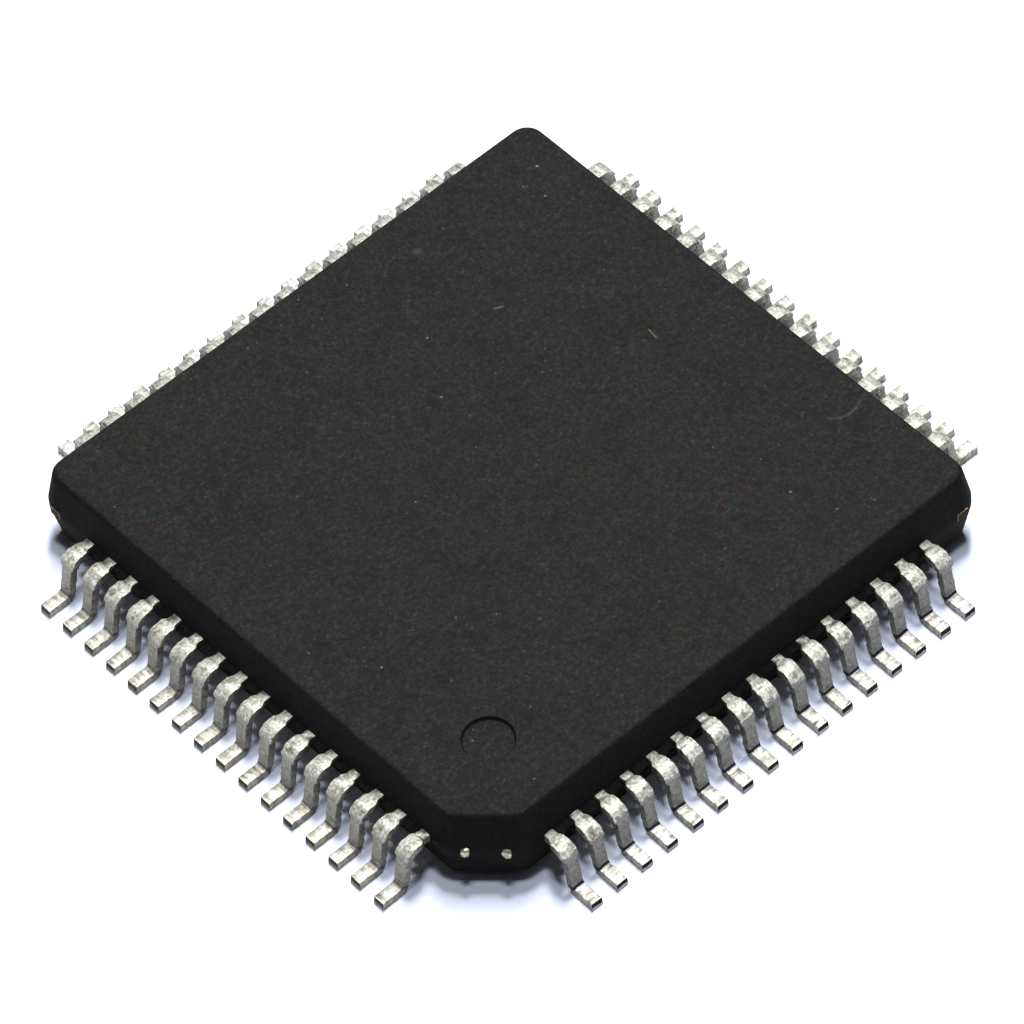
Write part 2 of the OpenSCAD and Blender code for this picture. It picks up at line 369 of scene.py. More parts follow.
def resin_flash():
    """Thin resin squeezed out along the parting line: smooth, without the top's grain, and near-black, darker
    than the compound as painted shade between the leads.
    """
    material, tree, surface = new_material("resin_flash")
    mottle = add(tree, NOISE, {"Vector": millimetres(tree), "Scale": 12, "Detail": 3})
    skin = add(tree, RAMP, (mottle,), stops=[(0.35, "#0d0d0e"), (0.7, "#1b1b1b")])
    feed(tree, surface, {"Base Color": skin, "Roughness": 0.7, "Specular IOR Level": 0.06})
    return material


def on_left_or_right(tree, place):
    """1 on the leads that point along X, which get softer painted shade and closer tones at their cut ends,
    and 0 on the others.
    """
    parts = add(tree, PARTS, (place,)).outputs
    x, y = (add(tree, MATH, (part,), operation="ABSOLUTE") for part in parts[:2])
    return add(tree, MATH, (x, y), operation="GREATER_THAN")


def matte_tin(leads):
    """Electroplated matte tin: pale and crystalline; along the lead a painted highlight on the shoulder bend,
    a grey leg that is partly burnished by the die and partly painted shade, and a painted dark shade line in
    the crease.
    """
    material, tree, surface = new_material("matte_tin")
    place = millimetres(tree)
    # Tin crystals of 0.01 to 0.03 mm, drawn a little coarse so that they show
    grain, patch = (
        add(tree, NOISE, {"Vector": place, "Scale": scale, "Detail": 3, "Roughness": rough})
        for scale, rough in ((22, 0.65), (7, 0.6))
    )
    plating = add(tree, RAMP, (grain,), stops=[
        (0.34, "#a3a29d"), (0.45, "#c4c4be"), (0.56, leads.tin[:]), (0.66, "#fbfbf8")])
    dull = add(tree, RAMP, (patch,), stops=[(0.36, "#cfccc2"), (0.44, 1.0)])
    multiply = {"data_type": "RGBA", "blend_type": "MULTIPLY"}
    plating = add(tree, MIX, {0: 1.0, 6: plating, 7: dull}, **multiply)
    # Distance along the lead, in millimetres, with a ragged edge to the burnished and painted tones at the
    # shoulder
    along = add(tree, "ShaderNodeAttribute", attribute_name="along").outputs["Fac"]
    along = add(tree, MATH, (along, 1 / MM), operation="MULTIPLY")
    uneven = add(tree, "ShaderNodeMapRange", (along, 0.6, 0.9, 0.28, 0.07))
    ragged = add(tree, MATH, (patch, 0.5), operation="SUBTRACT")
    along = add(tree, MATH, (ragged, uneven, along), operation="MULTIPLY_ADD")
    # A ramp runs from 0 to 1, so every place along the lead is halved from here on
    along = add(tree, MATH, (along, 2.0), operation="DIVIDE")
    bend = (ROOT_DEPTH + leads.bend_start) / MM / 2
    crease = 0.56
    # Painted light along the lead: the flats darker, a painted highlight where the shoulder turns down, the
    # leg grey, partly burnished and partly painted shade, a painted dark shade line in the crease, then the
    # foot
    worked_and_shaded = add(tree, RAMP, (along,), stops=[
        (bend - 0.03, "#acada8"), (bend + 0.02, "#c6c6c2"), (bend + 0.06, "#e9e9e6"),
        (bend + 0.076, 1.0), (bend + 0.08, "#abadae"), (crease, "#a2a4a6"),
        (crease + 0.008, "#342f3e"), (crease + 0.042, "#342f3e"), (crease + 0.05, "#d6d6d6")])
    # On the leads along X the same tones with softer painted shade: a lighter leg and a fainter crease line
    softly_shaded = add(tree, RAMP, (along,), stops=[
        (bend - 0.03, "#b5b6b1"), (bend + 0.02, "#cdcdc9"), (bend + 0.06, "#ebebe8"),
        (bend + 0.1, "#c2c3c2"), (crease, "#b4b5b4"),
        (crease + 0.015, "#7d7a7f"), (crease + 0.04, "#86837f"), (crease + 0.055, "#d2d1cc")])
    worked_and_shaded = add(tree, MIX, {0: on_left_or_right(tree, place), 6: worked_and_shaded, 7: softly_shaded}, data_type="RGBA")
    smoothed = add(tree, RAMP, (along,), stops=[
        (bend + 0.076, 0.0), (bend + 0.08, 0.35), (crease, 0.35), (crease + 0.05, 0.25)])
    plating = add(tree, MIX, {0: smoothed, 6: plating, 7: leads.tin[:]}, data_type="RGBA")
    plating = add(tree, MIX, {0: 1.0, 6: plating, 7: worked_and_shaded}, **multiply)
    # Ripples across the foot, where the die pressed it flat, which drift a little from lead to lead
    parts = add(tree, PARTS, (place,)).outputs
    drift = add(tree, MATH, (parts[0], parts[1]))
    drift = add(tree, MATH, (drift, 0.06), operation="MULTIPLY")
    across = add(tree, "ShaderNodeCombineXYZ", (along, drift))
    ripple = add(tree, NOISE, {"Vector": across, "Scale": 24, "Detail": 2})
    ripple = add(tree, RAMP, (ripple,), stops=[(0.38, "#cbc8c0"), (0.52, 1.0)])
    on_foot = add(tree, RAMP, (along,), stops=[(crease + 0.05, 0.0), (crease + 0.06, 1.0)])
    plating = add(tree, MIX, {0: on_foot, 6: plating, 7: ripple}, **multiply)
    plating = with_marks(tree, place, grain, plating, SMEARS, "#7d5b48", 1.0)
    bump = add(tree, "ShaderNodeBump", {"Height": grain, "Strength": 0.5, "Distance": 0.005 * MM})
    feed(tree, surface, {"Base Color": plating, "Normal": bump, "Metallic": 1.0, "Roughness": 0.52})
    return material


def sheared_end(leads):
    """A cut through plated copper alloy: a burnished strip below, drawn pale lilac as a painted reflection of
    the paper, and a dark broken strip above.
    """
    material, tree, surface = new_material("sheared_copper_alloy")
    place = millimetres(tree)
    height = add(tree, PARTS, (place,)).outputs[2]
    wander = add(tree, NOISE, {"Vector": place, "Scale": 12, "Detail": 2})
    wander = add(tree, MATH, (wander, 0.06, height), operation="MULTIPLY_ADD")
    shiny, torn = 0.063, 0.078
    cut = add(tree, RAMP, (wander,), stops=[(shiny, "#f1ecf8"), (torn, leads.sheared[:])])
    # Painted light: on the leads along X the two strips are drawn closer in tone, as the light falls on those
    # ends
    worn_and_side_lit = add(tree, RAMP, (wander,), stops=[(shiny, "#b9b4ae"), (torn, "#524940")])
    cut = add(tree, MIX, {0: on_left_or_right(tree, place), 6: cut, 7: worn_and_side_lit}, data_type="RGBA")
    feed(tree, surface, {"Base Color": cut, "Specular IOR Level": 0.12, "Roughness": 0.6})
    return material


def plain_metal(name, low, high, scale, roughness):
    """A metal with a faint mottle between two colours."""
    material, tree, surface = new_material(name)
    mottle = add(tree, NOISE, {"Vector": millimetres(tree), "Scale": scale, "Detail": 3})
    skin = add(tree, RAMP, (mottle,), stops=[(0.35, low), (0.65, high)])
    feed(tree, surface, {"Base Color": skin, "Metallic": 1.0, "Roughness": roughness})
    return material


# ---- Moulded body ----


def ring_of_corners(centres, radius, steps):
    """Points of a rounded outline: an arc about each corner's centre, and a point beside it on each flat."""
    points = []
    beside = 0.03 * MM
    for x, y, start, turn in centres:
        count = max(1, round(steps * turn / 90))
        angles = [math.radians(start + turn * i / count) for i in range(count + 1)]
        arc = [(x + radius * math.cos(a), y + radius * math.sin(a)) for a in angles]
        first, last = angles[0], angles[-1]
        before = (arc[0][0] + beside * math.sin(first), arc[0][1] - beside * math.cos(first))
        after = (arc[-1][0] - beside * math.sin(last), arc[-1][1] + beside * math.cos(last))
        points += [before] + arc + [after]
    return points


def outline_corners(body):
    """Centre, first direction and turn of each corner of the outline, anticlockwise."""
    half = BODY_HIGH.x
    reach = (2 * half - body.chamfer) / math.sqrt(2)
    inner = half - body.corner_radius
    cut = (reach - body.corner_radius) * math.sqrt(2) - inner
    return [
        (inner, inner, 0, 90),
        (-inner, inner, 90, 90),
        (-inner, -cut, 180, 45),
        (-cut, -inner, 225, 45),
        (inner, -inner, 270, 90),
    ]


def wall_levels(body, steps=6):
    """(inset, height) of each ring of the walls, from the underside's flat to the top's flat."""
    tan, cos = math.tan(body.draft), math.cos(body.draft)
    band_top, band_low = LEAD_TOP, LEAD_TOP - body.lead_thickness
    radius = body.edge_radius
    hold = 0.02 * MM
    top = BODY_HIGH.z - radius
    foot = BODY_LOW.z + radius
    top_inset = (top - band_top) * tan + radius / cos
    foot_inset = (band_low - foot) * tan + radius / cos
    turn = math.pi / 2 - body.draft
    levels = [(foot_inset + hold, BODY_LOW.z)]
    for i in range(steps + 1):
        a = body.draft + turn * (1 - i / steps)
        levels.append((foot_inset - radius * math.cos(a), foot - radius * math.sin(a)))
    levels += [(hold * tan, band_low - hold), (0.0, band_low), (0.0, band_top), (hold * tan, band_top + hold)]
    for i in range(steps + 1):
        a = body.draft + turn * i / steps
        levels.append((top_inset - radius * math.cos(a), top + radius * math.sin(a)))
    levels.append((top_inset + hold, BODY_HIGH.z))
    return levels


def join_rings(mesh, rings):
    """Puts a band of faces between each ring of points and the next."""
    for near, far in zip(rings, rings[1:]):
        for i in range(len(near)):
            j = (i + 1) % len(near)
            mesh.faces.new((near[i], near[j], far[j], far[i]))


def edges_of(mesh, ring):
    """The edges round a ring of points."""
    return [mesh.edges.get(pair) for pair in zip(ring, ring[1:] + ring[:1])]


def recess_rings(mesh, x, y, surface, depth, radius, sides=64):
    """A round recess that goes depth into a flat at height surface. Returns its outer ring of edges."""
    deep = abs(depth)
    lip = min(0.012 * MM, deep / 3)
    profile = [
        (radius + 2 * lip, 0.0), (radius + lip, 0.0), (radius + 0.3 * lip, 0.3 * lip), (radius, lip),
        (radius - lip, deep - lip), (radius - 1.7 * lip, deep - 0.3 * lip),
        (radius - 2.6 * lip, deep), (radius - 5 * lip, deep),
    ]
    turns = [2 * math.pi * i / sides for i in range(sides)]
    rings = []
    for r, down in profile:
        z = surface - math.copysign(down, depth)
        rings.append([mesh.verts.new((x + r * math.cos(turn), y + r * math.sin(turn), z)) for turn in turns])
    join_rings(mesh, rings)
    mesh.faces.new(rings[-1])
    return edges_of(mesh, rings[0])


def moulded_body_mesh(body):
    """The whole body as one closed skin: drafted walls, rounded edges, pin 1 recess and ejector marks."""
    mesh = bmesh.new()
    corners = outline_corners(body)
    rings = []
    for inset, height in wall_levels(body):
        outline = ring_of_corners(corners, body.corner_radius - inset, 12)
        rings.append([mesh.verts.new((x, y, height)) for x, y in outline])
    join_rings(mesh, rings)
    mark = body.mark_inset - BODY_HIGH.x
    eject = BODY_HIGH.x - body.ejector_inset
    top_holes = recess_rings(mesh, mark, mark, BODY_HIGH.z, body.mark_depth, body.mark_diameter / 2)
    low_holes = []
    for at in (-eject, eject):
        low_holes += recess_rings(mesh, at, at, BODY_LOW.z, -body.ejector_depth, body.ejector_diameter / 2)
    for ring, holes in ((rings[-1], top_holes), (rings[0], low_holes)):
        bmesh.ops.triangle_fill(mesh, use_beauty=True, edges=edges_of(mesh, ring) + holes)
    bmesh.ops.recalc_face_normals(mesh, faces=mesh.faces[:])
    for face in mesh.faces:
        face.smooth = True
    return as_data(mesh, "moulded_body")


def block_template(cuts):
    """Corners and faces of a unit cube, each side cut up by a grid."""
    block = bmesh.new()
    bmesh.ops.create_cube(block, size=1.0)
    bmesh.ops.subdivide_edges(block, edges=block.edges[:], cuts=cuts, use_grid_fill=True)
    block.verts.index_update()
    corners = [vert.co.copy() for vert in block.verts]
    faces = [[vert.index for vert in face.verts] for face in block.faces]
    block.free()
    return corners, faces


def flash_mesh(body, leads):
    """Resin between the roots of the leads, as far out as the dam bar stood, with a broken outer face."""
    corners, faces = block_template(4)
    mesh = bmesh.new()
    base = LEAD_TOP - body.lead_thickness / 2
    sunk = 0.03 * MM
    root = BODY_HIGH.x - sunk
    gap_width = leads.pitch - leads.root_width - 0.004 * MM
    size = Vector((body.flash_reach + sunk, gap_width, body.lead_thickness - 0.01 * MM))
    for side in range(4):
        turn = Matrix.Rotation(side * math.pi / 2, 3, "Z")
        for gap in range(leads.per_side - 1):
            middle = (gap + 1 - leads.per_side / 2) * leads.pitch
            verts = []
            for corner in corners:
                out = corner.x + 0.5
                local = Vector((root + out * size.x, middle + corner.y * size.y, base + corner.z * size.z))
                place = turn @ local / MM
                # The face is broken unevenly, and the resin thins from above towards it
                local.x += (noise.noise(place * 5) * 0.05 + noise.noise(place * 20) * 0.02) * MM * out
                local.z -= out * (corner.z + 0.5) * (0.6 + 0.3 * noise.noise(place * 7)) * size.z
                verts.append(mesh.verts.new(turn @ local))
            for face in faces:
                mesh.faces.new([verts[i] for i in face])
    return as_data(mesh, "dam_bar_flash")


class FLATPACK_OT_body(bpy.types.Operator):
    """Makes the moulded body with its rounded edges, pin 1 recess and ejector marks"""

    bl_idname = "flatpack.body"
    bl_label = "Moulded Body"

    def execute(self, context):
        body = context.scene.flatpack_body
        compound = moulding_compound(body)
        skin = moulded_body_mesh(body)
        flash = flash_mesh(body, context.scene.flatpack_leads)
        skin.materials.append(compound)
        flash.materials.append(resin_flash())
        finish_piece(new_object("moulded_body", skin), ["mould_body"])
        finish_piece(new_object("dam_bar_flash", flash))
        return {"FINISHED"}


# ---- Leads ----


def lead_path(leads):
    """Corners of a lead's middle line, (out, up), and how far along it the flare starts and the stubs end."""
    half = leads.thickness / 2
    middle = LEAD_TOP - half
    radius = leads.shoulder_radius + half
    turn = math.pi / 2 - leads.leg_lean
    root = BODY_HIGH.x - ROOT_DEPTH
    bend = BODY_HIGH.x + leads.bend_start
    shoulder = bend + radius * math.tan(turn / 2)
    ankle = shoulder + (middle - half) * math.tan(leads.leg_lean)
    corners = [(root, middle), (shoulder, middle), (ankle, half), (TOE_REACH, half)]
    flare = BODY_HIGH.x + leads.flare_start - root
    return corners, flare, bend - root + radius * turn


def lead_tree():
    """Geometry nodes that bend one lead from its middle line and set a run of them round the body."""
    tree = bpy.data.node_groups.new("Gull-Wing Leads", "GeometryNodeTree")
    sockets = {
        "Vector": ("Root", "Shoulder", "Ankle", "Toe"),
        "Float": (
            "Shoulder Radius", "Ankle Radius", "Thickness", "Root Width", "Stub Width", "Leg Width",
            "Flare Start", "Flare Length", "Stub End", "Toe Inset", "Edge Softness", "Ring Spacing",
            "Unevenness", "Pitch"),
        "Int": ("First Pin", "Pins", "Leads a Side", "Seed"),
        "Material": ("Plating", "Cut Metal"),
    }
    for kind, names in sockets.items():
        for name in names:
            tree.interface.new_socket(name, in_out="INPUT", socket_type="NodeSocket" + kind)
    tree.interface.new_socket("Geometry", in_out="OUTPUT", socket_type="NodeSocketGeometry")
    given = add(tree, "NodeGroupInput").outputs

    # Middle line: four points with the two bends rounded, then even steps along it
    index = add(tree, "GeometryNodeInputIndex")
    corner = add(tree, "GeometryNodeIndexSwitch", data_type="VECTOR")
    radius = add(tree, "GeometryNodeIndexSwitch", data_type="FLOAT")
    for switch in (corner, radius):
        while len(switch.index_switch_items) < 4:
            switch.index_switch_items.new()
    feed(tree, corner, (index, *(given[name] for name in sockets["Vector"])))
    feed(tree, radius, {0: index, 2: given["Shoulder Radius"], 3: given["Ankle Radius"]})
    line = add(tree, "GeometryNodeMeshLine", {"Count": 4})
    line = add(tree, "GeometryNodeSetPosition", {"Geometry": line, "Position": corner})
    line = add(tree, "GeometryNodeMeshToCurve", (line,))
    line = add(tree, "GeometryNodeFilletCurve", {"Curve": line, "Radius": radius, "Count": 12}, mode="POLY")
    steps = {"Curve": line, "Length": given["Ring Spacing"]}
    line = add(tree, "GeometryNodeResampleCurve", steps, mode="LENGTH")
    line = add(tree, "GeometryNodeSetCurveNormal", (line,), mode="Z_UP")
    along = add(tree, "GeometryNodeSplineParameter").outputs["Length"]
    kept = {"Geometry": line, "Name": "along", "Value": along}
    line = add(tree, "GeometryNodeStoreNamedAttribute", kept, data_type="FLOAT", domain="POINT")

    # Stamped section with soft edges, swept along the line
    square = {"Width": given["Leg Width"], "Height": given["Thickness"]}
    section = add(tree, "GeometryNodeCurvePrimitiveQuadrilateral", square)
    rounded = {"Curve": section, "Radius": given["Edge Softness"], "Count": 3}
    section = add(tree, "GeometryNodeFilletCurve", rounded, mode="POLY")
    lead = add(tree, "GeometryNodeCurveToMesh", {"Curve": line, "Profile Curve": section, "Fill Caps": True})

    # Width: root, flare, dam bar stub, leg
    along = add(tree, "GeometryNodeInputNamedAttribute", {"Name": "along"}, data_type="FLOAT")
    flare = given["Flare Start"]
    flare_end = add(tree, MATH, (flare, given["Flare Length"]))
    stub_gone = add(tree, MATH, (given["Stub End"], given["Ring Spacing"]))
    widths = (given["Root Width"], given["Stub Width"])
    width = add(tree, "ShaderNodeMapRange", (along, flare, flare_end, *widths))
    in_stub = add(tree, "ShaderNodeMapRange", (along, given["Stub End"], stub_gone, 1.0, 0.0))
    width = add(tree, MIX, {0: in_stub, 2: given["Leg Width"], 3: width})
    widen = add(tree, MATH, (width, given["Leg Width"]), operation="DIVIDE")

    # The toe's top edge lies behind its bottom edge
    place = add(tree, "GeometryNodeInputPosition")
    place = add(tree, PARTS, (place,)).outputs
    toe = add(tree, PARTS, (given["Toe"],))
    at_toe = add(tree, "FunctionNodeCompare", {0: place[0], 1: toe, "Epsilon": 0.001 * MM}, operation="EQUAL")
    lean = add(tree, MATH, (place[2], given["Thickness"]), operation="DIVIDE")
    for factor in (given["Toe Inset"], at_toe):
        lean = add(tree, MATH, (lean, factor), operation="MULTIPLY")
    out = add(tree, MATH, (place[0], lean), operation="SUBTRACT")
    side = add(tree, MATH, (place[1], widen), operation="MULTIPLY")
    moved = add(tree, "ShaderNodeCombineXYZ", (out, side, place[2]))
    lead = add(tree, "GeometryNodeSetPosition", {"Geometry": lead, "Position": moved})

    # The edges round cuts, which turn by more than 0.8 radians, stay crisp
    bent = add(tree, "GeometryNodeInputMeshEdgeAngle")
    crisp = add(tree, "FunctionNodeCompare", (bent, 0.8), operation="GREATER_THAN")
    flat = {"Geometry": lead, "Selection": crisp, "Shade Smooth": False}
    lead = add(tree, "GeometryNodeSetShadeSmooth", flat, domain="EDGE")
    lead = add(tree, "GeometryNodeSetMaterial", {"Geometry": lead, "Material": given["Plating"]})
    facing = add(tree, "GeometryNodeInputNormal")
    facing = add(tree, PARTS, (facing,))
    outward = add(tree, "FunctionNodeCompare", (facing, 0.9), operation="GREATER_THAN")
    close = add(tree, MATH, (toe, given["Ring Spacing"]), operation="SUBTRACT")
    beyond = add(tree, "FunctionNodeCompare", (place[0], close), operation="GREATER_THAN")
    cut = add(tree, "FunctionNodeBooleanMath", (outward, beyond), operation="AND")
    bare = {"Geometry": lead, "Selection": cut, "Material": given["Cut Metal"]}
    lead = add(tree, "GeometryNodeSetMaterial", bare)

    # One point for each pin, counted round the body from the chamfered corner
    per_side = given["Leads a Side"]
    first = add(tree, MATH, (given["First Pin"], 1.0), operation="SUBTRACT")
    pin = add(tree, MATH, (index, first))
    row = add(tree, MATH, (pin, per_side), operation="DIVIDE")
    row = add(tree, MATH, (row,), operation="FLOOR")
    turn = add(tree, MATH, (row, math.pi / 2, -math.pi / 2), operation="MULTIPLY_ADD")
    place_in_row = add(tree, MATH, (pin, per_side), operation="MODULO")
    last = add(tree, MATH, (per_side, 1.0), operation="SUBTRACT")
    from_middle = add(tree, MATH, (last, -0.5, place_in_row), operation="MULTIPLY_ADD")
    sideways = add(tree, MATH, (from_middle, given["Pitch"]), operation="MULTIPLY")
    sideways = add(tree, "ShaderNodeCombineXYZ", {1: sideways})
    spin = add(tree, "ShaderNodeVectorRotate", {"Vector": sideways, "Angle": turn}, rotation_type="Z_AXIS")
    points = add(tree, "GeometryNodePoints", {"Count": given["Pins"], "Position": spin})
    # Each lead is turned by up to 0.0012 radians about the middle of the body
    drawn = {2: -0.0012, 3: 0.0012, "ID": pin, "Seed": given["Seed"]}
    wobble = add(tree, "FunctionNodeRandomValue", drawn, data_type="FLOAT")
    turned = add(tree, MATH, (turn, wobble))
    euler = add(tree, "ShaderNodeCombineXYZ", {2: turned})
    rotation = add(tree, "FunctionNodeEulerToRotation", (euler,))
    set_round = {"Points": points, "Instance": lead, "Rotation": rotation}
    placed = add(tree, "GeometryNodeInstanceOnPoints", set_round)
    placed = add(tree, "GeometryNodeRealizeInstances", (placed,))

    # Uneven plating, which differs from lead to lead because it follows the place
    where = add(tree, "GeometryNodeInputPosition")
    lumps = add(tree, NOISE, {"Vector": where, "Scale": 11 / MM, "Detail": 2})
    lumps = add(tree, MATH, (lumps, 0.6), operation="SUBTRACT")
    lumps = add(tree, MATH, (lumps, given["Unevenness"]), operation="MULTIPLY")
    # The sole is flat, because the die pressed it
    height = add(tree, PARTS, (where,)).outputs[2]
    above = add(tree, "ShaderNodeMapRange", (height, 0.02 * MM, 0.08 * MM, 0.0, 1.0))
    lumps = add(tree, MATH, (lumps, above), operation="MULTIPLY")
    normal = add(tree, "GeometryNodeInputNormal")
    sideways = add(tree, VECTOR_MATH, (normal, (1, 1, 0.25)), operation="MULTIPLY")
    lumps = add(tree, VECTOR_MATH, {0: sideways, "Scale": lumps}, operation="SCALE")
    placed = add(tree, "GeometryNodeSetPosition", {"Geometry": placed, "Offset": lumps})
    add(tree, "NodeGroupOutput", (placed,))
    return tree


def run_tree(name, tree, values):
    """Runs geometry nodes on a new piece with the given inputs and keeps the result as its plain mesh."""
    piece = new_object(name, bpy.data.meshes.new(name))
    modifier = piece.modifiers.new(tree.name, "NODES")
    modifier.node_group = tree
    for item in tree.interface.items_tree:
        if item.in_out == "INPUT":
            modifier[item.identifier] = values[item.name]
    graph = bpy.context.evaluated_depsgraph_get()
    mesh = bpy.data.meshes.new_from_object(piece.evaluated_get(graph), depsgraph=graph)
    piece.modifiers.clear()
    mesh.name = name
    piece.data = mesh
    if not mesh.polygons:
        raise RuntimeError(f"{tree.name} made nothing for {name}")
    return piece


def bare_copper():
    """The leadframe's own metal, where no tin covers it."""
    name = "bare_copper_alloy"
    return bpy.data.materials.get(name) or plain_metal(name, "#b98d6e", "#d0a283", 8, 0.4)


def add_fingers(data, node, root):
    """Adds to a pair's mesh its fingers inside the body: the CAD's leads, cut where the bent part begins."""
    fingers = bmesh.new()
    fingers.from_mesh(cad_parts[node].data)
    bmesh.ops.remove_doubles(fingers, verts=fingers.verts, dist=MERGE)
    low, high = (Vector(corner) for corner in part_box(node))
    middle = (low + high) / 2
    out = 0 if abs(middle.x) > abs(middle.y) else 1
    facing = Vector((0, 0, 0))
    facing[out] = math.copysign(1, middle[out])
    everything = fingers.verts[:] + fingers.edges[:] + fingers.faces[:]
    plane = {"plane_co": root * facing, "plane_no": facing}
    cut = bmesh.ops.bisect_plane(fingers, geom=everything, clear_outer=True, **plane)
    rim = [part for part in cut["geom_cut"] if isinstance(part, bmesh.types.BMEdge)]
    bmesh.ops.edgeloop_fill(fingers, edges=rim)
    bmesh.ops.recalc_face_normals(fingers, faces=fingers.faces)
    data.materials.append(bare_copper())
    for face in fingers.faces:
        face.material_index = len(data.materials) - 1
        face.smooth = False
    inner = as_data(fingers, "inner_fingers")
    whole = bmesh.new()
    whole.from_mesh(data)
    whole.from_mesh(inner)
    whole.to_mesh(data)
    whole.free()
    bpy.data.meshes.remove(inner)


class FLATPACK_OT_leads(bpy.types.Operator):
    """Bends the tinned leads and sets them round the body, a piece for each pair"""

    bl_idname = "flatpack.leads"
    bl_label = "Gull-Wing Leads"

    def execute(self, context):
        leads = context.scene.flatpack_leads
        corners, flare, stub_end = lead_path(leads)
        points = [Vector((out, 0, up)) for out, up in corners]
        half = leads.thickness / 2
        as_set = (
            "Thickness", "Root Width", "Stub Width", "Leg Width", "Flare Length", "Toe Inset",
            "Edge Softness", "Ring Spacing", "Unevenness", "Pitch", "Seed",
        )
        values = {
            **{name: getattr(leads, name.lower().replace(" ", "_")) for name in as_set},
            "Root": points[0], "Shoulder": points[1], "Ankle": points[2], "Toe": points[3],
            "Shoulder Radius": leads.shoulder_radius + half, "Ankle Radius": leads.ankle_radius + half,
            "Flare Start": flare, "Stub End": stub_end, "Leads a Side": leads.per_side,
            "Plating": matte_tin(leads), "Cut Metal": sheared_end(leads),
        }
        tree = lead_tree()
        for node in LEAD_NODES:
            first, last = (int(number) for number in node.split("_")[1:])
            piece = run_tree("formed_" + node, tree, {**values, "First Pin": first, "Pins": last - first + 1})
            add_fingers(piece.data, node, corners[0][0])
            finish_piece(piece, [node])
        return {"FINISHED"}


# ---- Inside ----


def crumpled_tin():
    """Tin smeared over the torn tie bar ends beside pin 1, dull and greenish where it is thin."""
    material, tree, surface = new_material("crumpled_tin")
    patch = add(tree, NOISE, {"Vector": millimetres(tree), "Scale": 16, "Detail": 3})
    smear = add(tree, RAMP, (patch,), stops=[(0.3, "#4a473c"), (0.36, "#a9a88f"), (0.46, "#dcdccb")])
    feed(tree, surface, {"Base Color": smear, "Metallic": 0.9, "Roughness": 0.4})
    return material


def tie_bar_mesh(body):
    """The die pad with its tie bars cut off: flush at the round corners, torn and proud beside pin 1."""
    mesh = bmesh.new()
    mesh.from_mesh(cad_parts["die_pad"].data)
    bmesh.ops.remove_doubles(mesh, verts=mesh.verts, dist=MERGE)
    diagonal = Vector((-1, -1, 0)).normalized()
    across = Vector((1, -1, 0)).normalized()
    wall = (2 * BODY_HIGH.x - body.chamfer) / math.sqrt(2)
    sunk = 0.03 * MM
    shown = 0.005 * MM
    reach = max(vert.co.dot(diagonal) for vert in mesh.verts) - wall + sunk
    for vert in mesh.verts:
        proud = max(abs(vert.co.x), abs(vert.co.y)) - BODY_HIGH.x - shown
        beyond = vert.co.dot(diagonal) - wall + sunk
        if beyond > 0:
            vert.co -= beyond * diagonal
        elif proud > 0:
            vert.co.x -= math.copysign(proud, vert.co.x)
            vert.co.y -= math.copysign(proud, vert.co.y)
    for face in mesh.faces:
        if all(max(abs(vert.co.x), abs(vert.co.y)) > BODY_HIGH.x for vert in face.verts):
            face.material_index = TARNISHED
    # Beside pin 1 each square prong is worn to a rounded, crumpled lump, and the second one hangs lower
    noise.seed_set(5)
    corners, faces = block_template(7)
    middle = LEAD_TOP - body.lead_thickness / 2
    half = body.prong_width / 2
    for side, droop in ((-1, 0.0), (1, 0.012 * MM)):
        verts = []
        for corner in corners:
            out = (corner.x + 0.5) * reach
            worn_and_side_lit = min(1.0, out / (0.02 * MM))
            u, v = corner.y * body.prong_width, corner.z * body.lead_thickness
            # The square section is worn to a slightly smaller, rounder one, and its end to a dome
            bulge = max(abs(u), abs(v)) / max(math.hypot(u, v), 0.001 * MM)
            shrink = 1 - worn_and_side_lit * (1 - 0.93 * bulge ** 0.75)
            out += worn_and_side_lit * (half - math.hypot(u, v)) * 0.25
            place = (wall - sunk + out) * diagonal + (side * body.prong_spacing / 2 + u * shrink) * across
            place.z = middle + v * shrink - worn_and_side_lit * droop
            for scale, height in ((11, 0.025), (30, 0.006)):
                place += noise.noise_vector(place * scale / MM) * height * MM * worn_and_side_lit
            verts.append(mesh.verts.new(place))
        for ring in faces:
            mesh.faces.new([verts[i] for i in ring]).material_index = CRUMPLED
    return as_data(mesh, "die_pad_and_tie_bars")


class FLATPACK_OT_inside(bpy.types.Operator):
    """Gives the die, its pad and its wires inside the body their materials"""

    bl_idname = "flatpack.inside"
    bl_label = "Die, Pad and Wires"

    def execute(self, context):
        pad = tie_bar_mesh(context.scene.flatpack_body)
        tarnished = ("tarnished_copper_alloy", "#211c1a", "#2b2522", 8, 0.6)
        for material in (bare_copper(), crumpled_tin(), plain_metal(*tarnished)):
            pad.materials.append(material)
        finish_piece(new_object("die_pad_and_tie_bars", pad), ["die_pad"])
        finishes = {
            ("die",): plain_metal("polished_silicon", "#4a4f5a", "#596070", 3, 0.15),
            ("die_attach",): plain_metal("silver_epoxy", "#a9a9a2", "#c4c4bd", 20, 0.6),
            tuple(WIRE_NODES): plain_metal("gold_wire", "#d9a93f", "#f0c766", 10, 0.25),
        }
        for names, material in finishes.items():
            for name in names:
                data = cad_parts[name].data
                data.materials.clear()
                data.materials.append(material)
        return {"FINISHED"}


# ---- Stage ----


